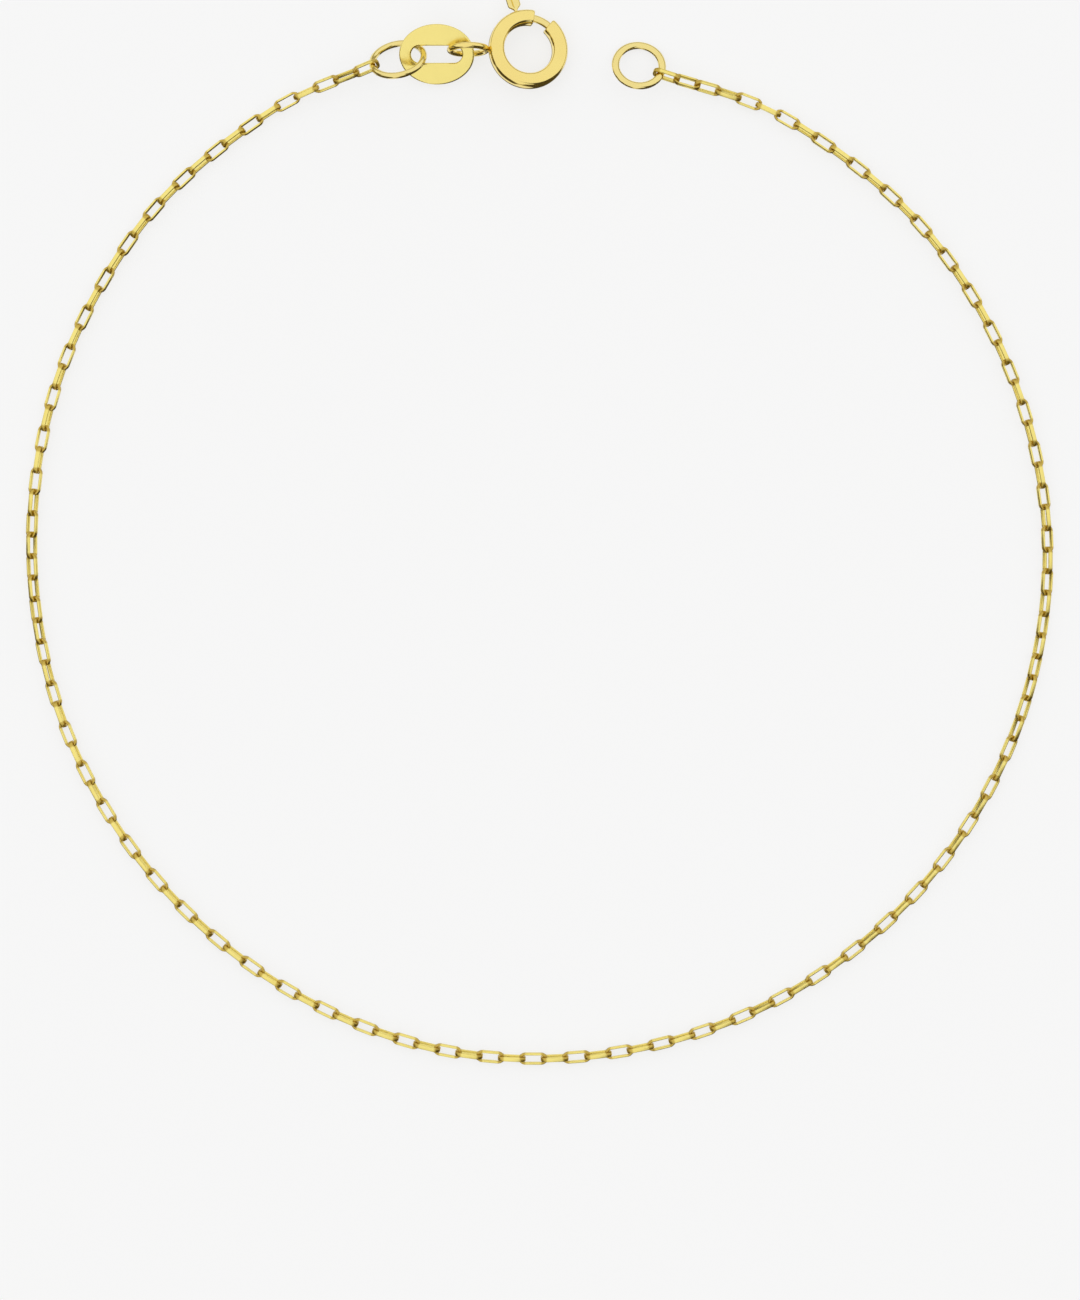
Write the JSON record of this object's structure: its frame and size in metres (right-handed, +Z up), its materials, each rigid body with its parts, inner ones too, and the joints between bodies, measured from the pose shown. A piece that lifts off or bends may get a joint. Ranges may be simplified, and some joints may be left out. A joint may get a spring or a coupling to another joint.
{
  "type": "chain bracelet",
  "caption": "Fine cable-chain bracelet lying in an open loop, with an oval slotted tag and a sprung ring clasp that closes on an end ring.",
  "frame": {"origin": "bottom centre of the bracelet's box, on the surface that it lies on", "axes": "+Z up from the surface, +Y from the loop's middle towards the clasp, +X towards the end ring's side"},
  "size_m": [0.0622, 0.0646, 0.0026],
  "materials": {
    "chain_gold": "polished yellow gold",
    "ring_gold": "polished yellow gold",
    "clasp_gold": "polished yellow gold",
    "tag_gold": "satin yellow gold"
  },
  "bodies": {
    "root": {"chain_left": "chain_gold", "chain_right": "chain_gold", "jump_ring": "ring_gold", "tag": "tag_gold", "clasp_body": "clasp_gold", "end_ring": "ring_gold"},
    "trigger": {"clasp_trigger": "clasp_gold"}
  },
  "joints": [
    {"name": "trigger_slide", "type": "hinge", "parent": "root", "child": "trigger", "pos_m": [-0.0007, 0.02905, 0.00093], "axis": [0.1928, 0.1159, 0.9744], "range_deg": [0, 40], "stiffness_Nm_per_rad": 0.0005}
  ]
}
